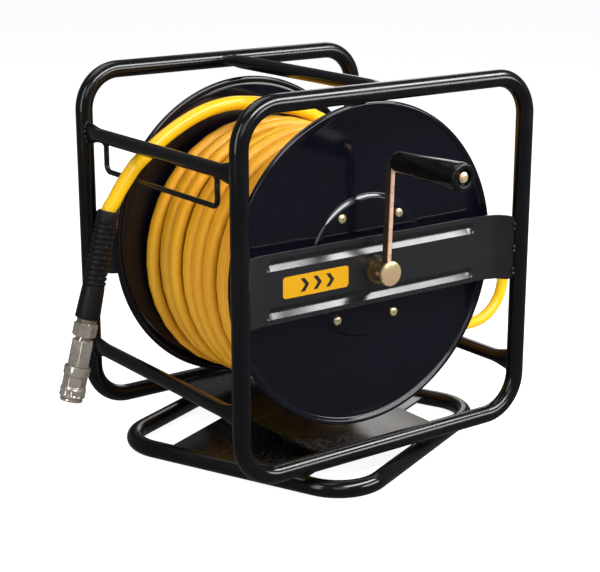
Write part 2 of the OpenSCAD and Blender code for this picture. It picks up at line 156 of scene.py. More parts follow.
class Shape:
    """Collects grids of points into one mesh."""

    def __init__(self):
        self.points, self.faces, self.uvs = [], [], []

    def grid(self, rings, round_it=True, caps=(True, True), loop=False, along=None):
        """Joins rings of points, each to the next. The UV runs round, then along in metres."""
        start, n = len(self.points), len(rings[0])
        rows = list(range(len(rings))) + ([0] if loop else [])
        for ring in rings:
            self.points.extend(ring)
        along = along or [0.001 * i for i in range(len(rows))]
        steps = n if round_it else n - 1
        for i in range(len(rows) - 1):
            for j in range(steps):
                a, b = start + rows[i] * n, start + rows[i + 1] * n
                k = (j + 1) % n
                self.faces.append((a + j, a + k, b + k, b + j))
                u, v = j / steps, (j + 1) / steps
                low, high = along[i], along[i + 1]
                self.uvs.extend([(u, low), (v, low), (v, high), (u, high)])
        if round_it and not loop:
            for ring_at, wanted, turn in ((0, caps[0], -1), (len(rings) - 1, caps[1], 1)):
                if wanted:
                    first = start + ring_at * n
                    self.faces.append(tuple(first + j for j in range(n))[::turn])
                    self.uvs.extend([(0.5, along[ring_at])] * n)
        return self

    def turned(self, profile, place, steps=96, outline=None, loop=False, caps=(True, True)):
        """Turns a profile of (radius, distance along Z) round place's Z.

        outline(angle, radius, distance) may give each point another radius.
        """
        rings = []
        for radius, s in profile:
            ring = []
            for j in range(steps):
                angle = 2 * math.pi * j / steps
                r = outline(angle, radius, s) if outline else radius
                ring.append(place @ Vector((r * math.cos(angle), r * math.sin(angle), s)))
            rings.append(ring)
        return self.grid(rings, loop=loop, caps=caps)

    def swept(self, path, section, side=(0, 1, 0)):
        """Sweeps section(share of the length, distance along), a list of (x, y), along path."""
        path = [Vector(p) for p in path]
        lengths = [0.0]
        for a, b in zip(path, path[1:]):
            lengths.append(lengths[-1] + (b - a).length)
        across, rings = None, []
        for i, p in enumerate(path):
            ahead = (path[min(i + 1, len(path) - 1)] - path[max(i - 1, 0)]).normalized()
            base = Vector(side) if across is None else across
            across = (base - ahead * base.dot(ahead)).normalized()
            up = ahead.cross(across)
            points = section(lengths[i] / lengths[-1], lengths[i])
            rings.append([p + across * x + up * y for x, y in points])
        return self.grid(rings, along=lengths)

    def piece(self, name, body, slot_name, material, stands_for=(), crease=35):
        """Makes the mesh object, riding on its body."""
        mesh = bpy.data.meshes.new(name)
        mesh.from_pydata([tuple(p) for p in self.points], [], self.faces)
        layer = mesh.uv_layers.new(name="surface")
        flat = [c for uv in self.uvs for c in uv]
        layer.data.foreach_set("uv", flat)
        mesh.validate()
        mesh.shade_smooth()
        mesh.set_sharp_from_angle(angle=math.radians(crease))
        mesh.materials.append(material)
        piece = bpy.data.objects.new(name, mesh)
        bpy.context.scene.collection.objects.link(piece)
        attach(piece, body)
        if stands_for:
            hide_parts(*stands_for)
        return piece


def circle(radius, sides=16):
    points = [(radius * math.cos(2 * math.pi * k / sides), radius * math.sin(2 * math.pi * k / sides))
              for k in range(sides)]
    return lambda share, along: points


def smooth_route(route, steps=3):
    """The route with each leg cut into steps on a Catmull-Rom curve."""
    points = [Vector(p) for p in route]
    out = []
    for i in range(len(points) - 1):
        a, b = points[max(i - 1, 0)], points[i]
        c, d = points[i + 1], points[min(i + 2, len(points) - 1)]
        for k in range(steps):
            t = k / steps
            out.append(0.5 * (2 * b + (c - a) * t + (2 * a - 5 * b + 4 * c - d) * t * t
                              + (3 * b - a - 3 * c + d) * t ** 3))
    return out + [points[-1]]


def route_length(path):
    return sum((b - a).length for a, b in zip(path, path[1:]))


def hexed(apothem, turn=0.0):
    """An outline that cuts a turned shape to a hexagon."""
    sixth = math.pi / 3

    def outline(angle, radius, s):
        off = (angle - turn + sixth / 2) % sixth - sixth / 2
        return min(radius, apothem / math.cos(off))
    return outline


def hex_profile(low, high, apothem, bore=0.0):
    """The profile of a chamfered hexagon from low to high, for hexed()."""
    corner = apothem / math.cos(math.pi / 6)
    edge = [(apothem * 0.96, 0.0), (apothem * 1.01, 0.0003), (corner * 0.975, 0.0009),
            (corner + 0.0001, 0.0017)]
    up = [(r, low + s) for r, s in edge]
    down = [(r, high - s) for r, s in reversed(edge)]
    return [(bore, low)] + up + down + [(bore, high)]


def rounded_box(width, depth, radius, steps=4):
    """The outline of a rectangle with rounded corners."""
    points = []
    for quarter, (sx, sy) in enumerate(((1, 1), (-1, 1), (-1, -1), (1, -1))):
        for k in range(steps + 1):
            angle = math.pi / 2 * (quarter + k / steps)
            points.append((sx * (width / 2 - radius) + radius * math.cos(angle),
                           sy * (depth / 2 - radius) + radius * math.sin(angle)))
    return points


# ---------- materials ----------


class Paint:
    """A principled material with helpers for its procedural detail."""

    def __init__(self, name, colour, roughness, metallic=0.0, ior=1.45, coat=0.0, coat_rough=0.05):
        self.made = bpy.data.materials.new(name)
        self.made.use_nodes = True
        self.tree = self.made.node_tree
        self.shader = self.tree.nodes["Principled BSDF"]
        self.set("Base Color", (*colour, 1))
        self.set("Roughness", roughness)
        self.set("Metallic", metallic)
        self.set("IOR", ior)
        self.set("Coat Weight", coat)
        self.set("Coat Roughness", coat_rough)
        self.made.diffuse_color = (*colour, 1)
        self.last_normal = None

    def set(self, name, value):
        self.shader.inputs[name].default_value = value

    def node(self, kind, **values):
        node = self.tree.nodes.new(kind)
        for key, value in values.items():
            if key in node.inputs:
                node.inputs[key].default_value = value
            else:
                setattr(node, key, value)
        return node

    def link(self, a, b):
        self.tree.links.new(a, b)

    def place(self, kind="Object"):
        return self.node("ShaderNodeTexCoord").outputs[kind]

    def noise(self, scale, detail=3.0, roughness=0.5, kind="Object", stretch=None):
        where = self.place(kind)
        if stretch:
            mapping = self.node("ShaderNodeMapping")
            mapping.inputs["Scale"].default_value = stretch
            self.link(where, mapping.inputs["Vector"])
            where = mapping.outputs["Vector"]
        made = self.node("ShaderNodeTexNoise", Scale=scale, Detail=detail, Roughness=roughness)
        self.link(where, made.inputs["Vector"])
        return made.outputs["Fac"]

    def maths(self, operation, a, b=0.0, c=0.0):
        made = self.node("ShaderNodeMath", operation=operation)
        for index, value in enumerate((a, b, c)):
            if isinstance(value, (int, float)):
                made.inputs[index].default_value = value
            else:
                self.link(value, made.inputs[index])
        return made.outputs[0]

    def remap(self, value, low, high, out_low, out_high):
        made = self.node("ShaderNodeMapRange")
        for name, number in (("From Min", low), ("From Max", high),
                             ("To Min", out_low), ("To Max", out_high)):
            made.inputs[name].default_value = number
        self.link(value, made.inputs["Value"])
        return made.outputs["Result"]

    def mix(self, share, a, b):
        made = self.node("ShaderNodeMix", data_type="RGBA")
        for index, value in ((0, share), (6, a), (7, b)):
            if isinstance(value, tuple):
                made.inputs[index].default_value = (*value, 1)
            elif isinstance(value, float):
                made.inputs[index].default_value = value
            else:
                self.link(value, made.inputs[index])
        return made.outputs[2]

    def vary_roughness(self, value, low, high):
        self.link(self.remap(value, 0.35, 0.65, low, high), self.shader.inputs["Roughness"])

    def colour(self, value):
        self.link(value, self.shader.inputs["Base Color"])

    def bump(self, height, strength, distance):
        made = self.node("ShaderNodeBump", Strength=strength, Distance=distance)
        self.link(height, made.inputs["Height"])
        if self.last_normal:
            self.link(self.last_normal, made.inputs["Normal"])
        self.last_normal = made.outputs["Normal"]
        self.link(self.last_normal, self.shader.inputs["Normal"])

    def edges(self, low=0.52, high=0.60):
        """The share of wear on outward edges."""
        return self.remap(self.node("ShaderNodeNewGeometry").outputs["Pointiness"], low, high, 0, 1)


def black_paint(name, colour, roughness, peel, wear):
    """Gloss paint with orange peel, faint dust and edges rubbed to a greyer black."""
    paint = Paint(name, colour, roughness, ior=1.42)
    paint.set("Specular IOR Level", 0.5)
    patches = paint.noise(14, 4)
    paint.vary_roughness(patches, roughness * 0.75, roughness * 1.35)
    dust = paint.remap(paint.noise(60, 6, 0.6), 0.55, 0.8, 0, 0.18)
    dusty = paint.mix(dust, colour, tuple(c + 0.010 for c in colour))
    rubbed = paint.maths("MULTIPLY", paint.edges(), paint.remap(paint.noise(220, 3), 0.45, 0.7, 0, wear))
    paint.colour(paint.mix(rubbed, dusty, (0.06, 0.06, 0.065)))
    paint.bump(paint.noise(420, 2), peel, 0.0004)
    return paint.made


def hose_cover(name, colour, deep, gloss, ambient=0.0):
    """A glossy hose cover with its reinforcing braid showing through; with ambient set, painted shade
    darkens it where neighbouring turns crowd it.
    """
    paint = Paint(name, colour, gloss, ior=1.45)
    paint.set("Specular IOR Level", 0.4)
    paint.set("Subsurface Weight", 0.08)
    paint.set("Subsurface Radius", (0.004, 0.002, 0.0006))
    where = paint.node("ShaderNodeSeparateXYZ")
    paint.link(paint.place("UV"), where.inputs["Vector"])
    yarns, pitch = 18.0, 0.0042
    round_it = paint.maths("MULTIPLY", where.outputs["X"], yarns)
    along = paint.maths("DIVIDE", where.outputs["Y"], pitch)
    one = paint.maths("SINE", paint.maths("MULTIPLY", paint.maths("ADD", round_it, along), math.tau))
    other = paint.maths("SINE", paint.maths("MULTIPLY", paint.maths("SUBTRACT", round_it, along), math.tau))
    braid = paint.remap(paint.maths("MAXIMUM", one, other), -0.2, 1.0, 0, 1)
    streaks = paint.noise(5, 4, 0.6)
    tone = paint.mix(paint.remap(streaks, 0.35, 0.65, 0, 0.8), colour, deep)
    tone = paint.mix(paint.maths("MULTIPLY", braid, 0.35), tone, deep)
    # painted shade: darker where ambient occlusion finds neighbouring turns close by
    if ambient:
        shade = paint.node("ShaderNodeAmbientOcclusion", samples=8)
        shade.inputs["Distance"].default_value = ambient
        painted_groove_shade = paint.remap(shade.outputs["AO"], 0.25, 0.9, 0.35, 0.0)
        tone = paint.mix(painted_groove_shade, tone, tuple(c * 0.55 for c in deep))
    smudge = paint.remap(paint.noise(30, 5, 0.65), 0.62, 0.85, 0, 0.25)
    tone = paint.mix(smudge, tone, (0.30, 0.17, 0.02))
    paint.colour(tone)
    paint.vary_roughness(paint.noise(40, 4), gloss * 0.8, gloss * 1.25)
    paint.bump(braid, 0.25, 0.00025)
    paint.bump(paint.noise(90, 3), 0.15, 0.0006)
    return paint.made


def plated(name, colour, tints, roughness, grain, metal=1.0, sides=1.0):
    """Plated steel with drifting interference tints and fine marks.

    sides is how much of the colour is left on faces that look along the piece's own X; below 1 this is
    painted shade on those faces.
    """
    paint = Paint(name, colour, roughness, metallic=metal)
    drift = paint.node("ShaderNodeValToRGB")
    drift.color_ramp.elements[0].position = 0.3
    drift.color_ramp.elements[0].color = (*colour, 1)
    drift.color_ramp.elements[1].position = 0.72
    drift.color_ramp.elements[1].color = (*tints[-1], 1)
    for index, tint in enumerate(tints[:-1]):
        stop = drift.color_ramp.elements.new(0.42 + 0.12 * index)
        stop.color = (*tint, 1)
    paint.link(paint.noise(34, 3, 0.55), drift.inputs["Fac"])
    stains = paint.remap(paint.noise(130, 5, 0.6), 0.6, 0.85, 0, 0.5)
    tone = paint.mix(stains, drift.outputs["Color"], tuple(c * 0.45 for c in colour))
    # painted shade: faces that look along the piece's X are darkened to sides times the colour
    if sides < 1:
        faces = paint.node("ShaderNodeSeparateXYZ")
        paint.link(paint.place("Normal"), faces.inputs["Vector"])
        side = paint.remap(paint.maths("ABSOLUTE", faces.outputs["X"]), 0.6, 0.95, 0, 1)
        tone = paint.mix(side, tone, tuple(c * sides for c in colour))
    paint.colour(tone)
    paint.vary_roughness(paint.noise(90, 4), roughness * 0.7, roughness * 1.4)
    paint.bump(paint.noise(900, 2), grain, 0.00015)
    return paint.made


def moulded(name, colour, roughness, texture, scale):
    """Moulded rubber or plastic with a fine skin and greyer edges."""
    paint = Paint(name, colour, roughness)
    paint.set("Specular IOR Level", 0.26)
    paint.vary_roughness(paint.noise(50, 4), roughness * 0.85, roughness * 1.2)
    bloom = paint.remap(paint.noise(25, 5, 0.6), 0.5, 0.8, 0, 0.35)
    worn = paint.maths("MAXIMUM", bloom, paint.maths("MULTIPLY", paint.edges(), 0.4))
    paint.colour(paint.mix(worn, colour, tuple(c * 1.5 + 0.003 for c in colour)))
    paint.bump(paint.noise(scale, 3), texture, 0.0003)
    return paint.made


def film(name, colour):
    """A printed film label, a little scuffed."""
    paint = Paint(name, colour, 0.5)
    paint.set("Specular IOR Level", 0.12)
    scuffs = paint.remap(paint.noise(300, 4, 0.6, stretch=(1, 1, 6)), 0.62, 0.8, 0, 0.3)
    paint.colour(paint.mix(scuffs, colour, tuple(c * 0.7 for c in colour)))
    paint.bump(paint.noise(250, 2), 0.1, 0.0002)
    return paint.made


def pale_floor():
    paint = Paint("pale_floor", (0.40, 0.40, 0.40), 0.8)
    paint.set("Specular IOR Level", 0.1)
    paint.colour(paint.mix(paint.noise(2, 2), (0.39, 0.39, 0.39), (0.41, 0.41, 0.41)))
    paint.set("Emission Color", (1, 1, 1, 1))
    paint.set("Emission Strength", 0.9)
    return paint.made


FRAME_BLACK = black_paint("frame_black", (0.002, 0.002, 0.0025), 0.17, 0.10, 0.4)
HUB_BLACK = black_paint("frame_black_hub_plate", (0.009, 0.009, 0.010), 0.2, 0.10, 0.4)
DRUM_BLACK = black_paint("drum_black", (0.002, 0.002, 0.0045), 0.11, 0.05, 0.35)
HOSE_BRIGHT = hose_cover("hose_bright", (0.70, 0.42, 0.007), (0.60, 0.32, 0.006), 0.2)
# The wound hose is the same cover as hose_bright, painted darker and more orange: painted shade on the
# packed turns.
HOSE_WOUND_SHADED = hose_cover("hose_wound", (0.66, 0.34, 0.008), (0.58, 0.23, 0.009), 0.42, 0.012)
YELLOW_ZINC = plated("yellow_zinc", (0.66, 0.42, 0.30),
                     [(0.66, 0.46, 0.27), (0.48, 0.48, 0.24), (0.70, 0.40, 0.31)], 0.2, 0.08, 0.72)
# The crank bar's zinc, with painted shade on its faces that look along X.
ZINC_BAR = plated("yellow_zinc_bar", (0.72, 0.46, 0.34),
                  [(0.66, 0.42, 0.28), (0.76, 0.46, 0.36)], 0.3, 0.05, 0.55, 0.08)
# A darker copy of the yellow zinc: painted shade for the bushes and the crank hub's sleeve under its cap.
ZINC_SHADED = plated("yellow_zinc_shaded", (0.15, 0.10, 0.04),
                   [(0.20, 0.13, 0.05), (0.12, 0.09, 0.05)], 0.24, 0.08, 0.8)
NICKEL = plated("nickel", (0.44, 0.40, 0.345), [(0.52, 0.47, 0.42), (0.34, 0.30, 0.26)], 0.18, 0.12, 0.75)
BRASS = plated("brass", (0.72, 0.52, 0.22), [(0.78, 0.58, 0.26), (0.62, 0.42, 0.18)], 0.25, 0.2, 0.7)
BOOT_RUBBER = moulded("boot_rubber", (0.003, 0.003, 0.0037), 0.5, 0.3, 700)
GRIP_BLACK = moulded("grip_black", (0.003, 0.003, 0.0035), 0.17, 0.04, 300)
NYLON = moulded("nylon", (0.62, 0.60, 0.52), 0.45, 0.15, 400)
LABEL_YELLOW = film("label_yellow", (0.40, 0.20, 0.001))
LABEL_BLACK = film("label_black", (0.01, 0.01, 0.01))

SLOT_MATERIALS = {
    "frame_black": FRAME_BLACK, "drum_black": DRUM_BLACK, "yellow_zinc": YELLOW_ZINC,
    "nickel": NICKEL, "brass": BRASS, "hose_bright": HOSE_BRIGHT, "hose_wound": HOSE_WOUND_SHADED,
    "boot_rubber": BOOT_RUBBER, "grip_black": GRIP_BLACK, "nylon": NYLON,
    "label_yellow": LABEL_YELLOW,
}

# Nodes with plain sharp corners that get a small rounding.
ROUNDED_NODES = {
    "base_plate": 0.0006, "turntable_plate": 0.0006, "swivel_boss": 0.0008,
    "thrust_washer": 0.0005, "swivel_washer": 0.0003, "swivel_nut": 0.0006,
    "swivel_bolt": 0.0005, "front_bush": 0.0007, "rear_bush": 0.0007, "crank_screw": 0.0004,
    "drum_core": 0.0004, "outlet_elbow": 0.0006,
}


def dress_cad_nodes():
    for row in frame["record"]["subparts"]:
        node = frame["nodes"][row["node"]]
        node.data.materials.clear()
        # The bushes get the darker zinc copy as painted shade.
        shaded_bush = row["node"] in ("front_bush", "rear_bush")
        node.data.materials.append(ZINC_SHADED if shaded_bush else SLOT_MATERIALS[row["material_slot"]])
        if row["node"] in ROUNDED_NODES:
            soften = node.modifiers.new("soft_edges", "BEVEL")
            soften.width = ROUNDED_NODES[row["node"]]
            soften.segments = 2
            soften.limit_method = "ANGLE"
            soften.angle_limit = math.radians(50)
            soften.harden_normals = False


# ---------- hoses ----------

PACK_HALF = 0.1045
PACK_ROWS = (0.0908, 0.1050, 0.1195, 0.1345)
ROW_SAG = (0.0, 0.3, 0.6, 1.0)
ROW_TURNS = 10
LAST_ROW_TURNS = 8.8
RINGS_A_TURN = 36
CLIMB_TURNS = 0.42
LEAVE_RADIUS = 0.1525
LEAVE_ANGLE = math.radians(-31)
LEAVE_Y = 0.066
FLAT_WIDE, FLAT_THIN = 1.5, 0.86
FLAT_SQUARE = 0.75
SLACK_EVEN, SLACK_LOW, SLACK_REAR = 0.009, 0.021, 0.009
CLIMB_BETWEEN_ROWS = 0.5


def pack_point(row_turns, turns):
    """Where the wound hose is after so many turns: distance along the axle, radius and slack."""
    passed = 0.0
    for row, radius in enumerate(PACK_ROWS):
        start = PACK_HALF if row % 2 == 0 else -PACK_HALF
        if turns <= passed + row_turns[row]:
            return lerp(start, -start, (turns - passed) / row_turns[row]), radius, ROW_SAG[row]
        passed += row_turns[row]
        if row + 1 < len(PACK_ROWS):
            if turns <= passed + CLIMB_BETWEEN_ROWS:
                share = ease((turns - passed) / CLIMB_BETWEEN_ROWS)
                return (-start, lerp(radius, PACK_ROWS[row + 1], share),
                        lerp(ROW_SAG[row], ROW_SAG[row + 1], share))
            passed += CLIMB_BETWEEN_ROWS
    share = ease((turns - passed) / CLIMB_TURNS)
    return (lerp(PACK_HALF, LEAVE_Y, share), lerp(PACK_ROWS[-1], LEAVE_RADIUS, share), 1 - share)


def sag(angle, y):
    """How far slack turns hang out: most at the bottom, and a little more beside the rear flange."""
    low = (1 - math.cos(angle)) / 2
    left = (1 + math.sin(angle)) / 2
    rear = ease((y - 0.072) / 0.024)
    return SLACK_EVEN * low + SLACK_LOW * low ** 3 + SLACK_REAR * rear * low * left ** 2


def wound_path():
    """The hose on the drum, from the core's outlet to where the free end leaves it."""
    row_turns = [ROW_TURNS] * (len(PACK_ROWS) - 1) + [LAST_ROW_TURNS]
    total = sum(row_turns) + CLIMB_BETWEEN_ROWS * (len(PACK_ROWS) - 1) + CLIMB_TURNS
    count = int(total * RINGS_A_TURN)
    path = []
    for i in range(count + 1):
        turns = total * i / count
        angle = LEAVE_ANGLE + math.tau * (turns - total)
        y, radius, slack = pack_point(row_turns, turns)
        ends = ease(turns / 0.2) * ease((total - turns) / 0.4)
        inside = ease((PACK_HALF - abs(y)) / 0.012)
        lay = math.tau * 0.37 * turns
        y += ends * inside * (0.0024 * math.sin(lay + 1.2) + 0.0030 * wave(turns * 1.1, 3.1))
        radius += slack * (sag(angle, y) + ends * 0.0013 * math.sin(lay))
        radius += ends * 0.0010 * wave(turns * 1.7, 5.3)
        radius -= 0.010 * (1 - ease(turns / 0.15))
        path.append(at(-radius * math.sin(angle), y, AXLE_Z + radius * math.cos(angle)))
    return path


def flattened(length):
    """The wound hose's section, pressed wide on the drum and round again where it leaves."""
    def section(share, along):
        flat = ease((length - along) / 0.35)
        wide, thin = HOSE_R * lerp(1, FLAT_WIDE, flat), HOSE_R * lerp(1, FLAT_THIN, flat)
        square = lerp(1, FLAT_SQUARE, flat)
        points = []
        for k in range(20):
            x, y = math.cos(math.tau * k / 20), math.sin(math.tau * k / 20)
            points.append((wide * math.copysign(abs(x) ** square, x),
                           thin * math.copysign(abs(y) ** square, y)))
        return points
    return section


def make_wound_hose():
    path = wound_path()
    piece = Shape().swept(path, flattened(route_length(path))).piece(
        "wound_hose_turns", "drum", "hose_wound", HOSE_WOUND_SHADED, ["wound_hose"], crease=60)
    return path


def make_free_hose(wound_end):
    """The hose's free end: off the top of the pack, under the upper tube and down to its boot."""
    route = [at(*p) for p in FREE_ROUTE]
    tail = [HOSE_END @ Vector((0, 0, s)) for s in (0, 0.02, 0.05, 0.08, 0.105)]
    lead_in = [wound_end, at(0.0455, 0.0645, 0.3812)]
    path = smooth_route(lead_in + route + tail, 4)
    piece = Shape().swept(path, circle(HOSE_R, 24)).piece(
        "free_hose_run", "frame", "hose_bright", HOSE_BRIGHT, ["free_hose"], crease=60)
    return piece, path


def make_lead_hose():
    path = smooth_route([at(*p) for p in LEAD_ROUTE], 4)
    piece = Shape().swept(path, circle(HOSE_R, 24)).piece(
        "lead_hose_run", "frame", "hose_bright", HOSE_BRIGHT, ["lead_hose"], crease=60)
    return piece, path


# ---------- boot and coupler ----------

BOOT_LENGTH = 0.122
RIBS = 12
RIB_FROM = 0.014
RIB_SPAN = 0.070


def boot_radius(angle, radius, s):
    """Ribs round the boot's middle, with four webs across each groove, turned on every other one."""
    if not RIB_FROM <= s <= RIB_FROM + RIB_SPAN:
        return radius
    place = (s - RIB_FROM) / RIB_SPAN * RIBS
    rib = int(place)
    across = abs(place - rib - 0.5)
    groove = ease((across - 0.24) / 0.1)
    turn = angle + (math.pi / 4 if rib % 2 else 0)
    off = abs((turn + math.pi / 4) % (math.pi / 2) - math.pi / 4)
    web = 1 - ease((off - 0.10) / 0.08)
    depth = 0.0017 * groove * (1 - 0.55 * web)
    return radius - depth + 0.0001 * math.sin(angle * 2 + rib * 1.9)


def make_boot():
    bore, tip = HOSE_R + 0.0001, 0.0006
    profile = [(bore, 0.004), (bore, 0), (0.0104, 0.0), (0.0113, tip), (0.0117, 0.0018), (0.0119, 0.008),
               (0.0120, 0.0125), (0.0117, 0.0136)]
    steps = RIBS * 14
    for k in range(steps + 1):
        share = k / steps
        profile.append((lerp(0.0120, 0.0129, share), RIB_FROM + RIB_SPAN * share))
    low = RIB_FROM + RIB_SPAN
    profile += [(0.0124, low + 0.0006), (0.0125, low + 0.0016), (0.0127, low + 0.004), (0.0134, low + 0.020),
                (0.0140, BOOT_LENGTH - 0.002), (0.0138, BOOT_LENGTH - tip), (0.0130, BOOT_LENGTH),
                (0.0088, BOOT_LENGTH), (0.0088, BOOT_LENGTH - 0.004)]
    return Shape().turned(profile, HOSE_END, 128, boot_radius, caps=(False, False)).piece(
        "boot_ribbed", "frame", "boot_rubber", BOOT_RUBBER, ["hose_boot"], crease=50)


def make_stem():
    """The threaded ring between the boot and the nut."""
    profile = [(0.0085, 0.1065), (0.0085, 0.1225)]
    for k in range(25):
        profile.append((0.0107 + 0.0006 * math.cos(k / 24 * math.tau * 3), lerp(0.1226, 0.1266, k / 24)))
    profile += [(0.009, 0.1268), (0.0083, 0.1285)]
    return Shape().turned(profile, HOSE_END, 72).piece(
        "stem_threads", "frame", "nickel", NICKEL, ["coupler_stem"])


def make_nut():
    shape = Shape().turned(hex_profile(0.127, 0.1428, 0.0116, 0.004), HOSE_END, 96, hexed(0.0116))
    return shape.piece("nut_hexagon", "frame", "nickel", NICKEL, ["coupler_nut"], crease=28)


def make_coupler_body():
    shape = Shape()
    shape.turned([(0.004, 0.1432), (0.0078, 0.1433), (0.0078, 0.1448), (0.0092, 0.1452), (0.0092, 0.1468),
                  (0.0085, 0.1474)], HOSE_END, 72)
    shape.turned(hex_profile(0.147, 0.1775, 0.0115, 0.004), HOSE_END, 96, hexed(0.0115, math.pi / 6))
    end, mouth = 0.217, 0.0059
    shape.turned([(0.0104, 0.176), (0.0104, 0.2134), (0.0118, 0.2134), (0.0125, 0.2140), (0.0127, 0.2150),
                  (0.0126, 0.2163), (0.0120, end), (0.0098, end), (0.0090, end - 0.0006),
                  (mouth + 0.0008, end - 0.0006), (mouth, end - 0.0016), (mouth, end - 0.018),
                  (0.0035, end - 0.0185), (0.0033, end - 0.024)], HOSE_END, 96)
    return shape.piece("body_hexagon", "frame", "nickel", NICKEL, ["coupler_body"], crease=28)


def sleeve_outline(angle, radius, s):
    """Six flats on the sleeve's waist and a scalloped gripping ring below."""
    if 0.1885 < s < 0.2005:
        depth = ease((s - 0.1885) / 0.0012) * ease((0.2005 - s) / 0.0012)
        sixth = math.pi / 3
        off = (angle + sixth / 2) % sixth - sixth / 2
        flat = 0.0119 / math.cos(off)
        return lerp(radius, min(radius, flat), depth)
    if 0.2025 < s < 0.2105:
        bite = ease((s - 0.2025) / 0.0015) * ease((0.2105 - s) / 0.0015)
        return radius - 0.0008 * bite * abs(math.sin(angle * 9)) ** 0.7
    return radius


def make_sleeve():
    profile = [(0.0134, 0.1785), (0.0134, 0.1772), (0.0139, 0.1770), (0.0144, 0.1775), (0.0145, 0.1785),
               (0.0145, 0.1855), (0.0143, 0.1866), (0.0134, 0.1874), (0.0134, 0.1885)]
    profile += [(0.0134, 0.1885 + 0.0003 * k) for k in range(1, 41)]
    profile += [(0.0135, 0.2012), (0.0142, 0.2018), (0.0145, 0.2025)]
    profile += [(0.0145, 0.2025 + 0.0005 * k) for k in range(1, 17)]
    profile += [(0.0141, 0.2115), (0.0132, 0.2122), (0.0126, 0.2129), (0.0107, 0.2129), (0.0105, 0.2120),
                (0.0105, 0.1905), (0.0134, 0.1900), (0.0134, 0.1880), (0.0134, 0.1790)]
    return Shape().turned(profile, HOSE_END, 144, sleeve_outline, loop=True).piece(
        "sleeve_knurled", "coupler_sleeve", "nickel", NICKEL, ["coupler_sleeve"], crease=30)


# ---------- lead's fittings ----------


def crimped(low, high, radius, bore):
    """The profile of a crimped ferrule, with rings pressed into it."""
    profile = [(bore, low), (radius - 0.0006, low), (radius, low + 0.0006)]
    count = 40
    for k in range(1, count):
        share = k / count
        squeeze = 0.0005 * (0.5 - 0.5 * math.cos(share * math.tau * 4))
        squeeze *= ease(share * 6) * ease((1 - share) * 6)
        profile.append((radius - squeeze, lerp(low + 0.0006, high - 0.0006, share)))
    return profile + [(radius, high - 0.0006), (radius - 0.0006, high), (bore, high)]


def make_lead_fittings():
    ferrule = Shape().turned(crimped(0.0231, 0.0559, 0.010, 0.004), UNION_PORT, 72)
    ferrule = ferrule.piece("lead_ferrule_crimped", "frame", "nickel", NICKEL, ["lead_ferrule"])
    cuff = Shape().turned(crimped(0.0001, 0.028, 0.0104, 0.004), LEAD_END, 72)
    cuff = cuff.piece("plug_ferrule_crimped", "frame", "nickel", NICKEL, ["plug_ferrule"])
    plug = Shape().turned(hex_profile(0.0281, 0.0390, 0.0091, 0.003), LEAD_END, 96, hexed(0.0091))
    plug.turned([(0.003, 0.0385), (0.0072, 0.0390), (0.0075, 0.0396), (0.0075, 0.0430), (0.0069, 0.0440),
                 (0.00584, 0.0442), (0.00584, 0.0485), (0.0050, 0.0492), (0.0046, 0.0510), (0.0050, 0.0528),
                 (0.00584, 0.0535), (0.00584, 0.0605), (0.0052, 0.0620), (0.0040, 0.0620), (0.0036, 0.0612),
                 (0.0036, 0.0500)], LEAD_END, 72)
    plug = plug.piece("plug_nipple", "frame", "nickel", NICKEL, ["inlet_plug"], crease=28)
    return ferrule, [cuff, plug]


def make_inlet():
    """The rotary union behind the rear plate, with its side port."""
    low, high = HUB_FACE + 0.0054, 0.196
    shape = Shape().turned([
        (0.0081, low), (0.0118, low), (0.0125, low + 0.0007), (0.0125, low + 0.0085), (0.0112, low + 0.0095),
        (0.0112, low + 0.0130), (0.0130, low + 0.0142), (0.0130, high - 0.0105), (0.0124, high - 0.0098),
        (0.0124, high - 0.0086), (0.0130, high - 0.0078), (0.0130, high - 0.0012), (0.0122, high - 0.0002),
        (0.0060, high), (0.0, high)], REAR, 96)
    shape.turned(hex_profile(0.0112, 0.0230, 0.0098, 0.003), UNION_PORT, 96, hexed(0.0098))
    return shape.piece("inlet_union", "frame", "brass", BRASS, ["inlet_elbow"], crease=28)


# ---------- drum ----------


def flange_profile():
    """A pressed flange: raised middle, flat web and a rolled rim."""
    bead, outer = 0.0035, FLANGE_R - 0.0035
    face, back, raised = FLANGE_Y + SHEET, FLANGE_Y, 0.003
    step_in, step_out = 0.0775, 0.0835
    profile = [(0.0081, face + raised), (0.074, face + raised)]
    for k in range(1, 13):
        profile.append((lerp(step_in, step_out, k / 12), face + raised * (1 - ease(k / 12))))
    profile += [(0.100, face), (0.140, face), (outer - 0.0085, face), (outer - 0.0058, face + 0.0002)]
    for k in range(19):
        angle = math.radians(lerp(165, -165, k / 18))
        profile.append((outer + bead * math.cos(angle), face + bead * math.sin(angle)))
    profile += [(outer - 0.0052, back - 0.0001), (outer - 0.0090, back), (0.140, back), (0.100, back)]
    for k in range(1, 13):
        profile.append((lerp(step_out, step_in, k / 12), back + raised * ease(k / 12)))
    return profile + [(0.074, back + raised), (0.0081, back + raised)]


def make_flanges():
    for node, place in (("front_flange", FRONT), ("rear_flange", REAR)):
        Shape().turned(flange_profile(), place, 256, loop=True).piece(
            node + "_pressed", "drum", "drum_black", DRUM_BLACK, [node], crease=60)


SCREW_X, SCREW_Z = 0.0404, 0.0576
DRUM_TURN = math.radians(2.7)


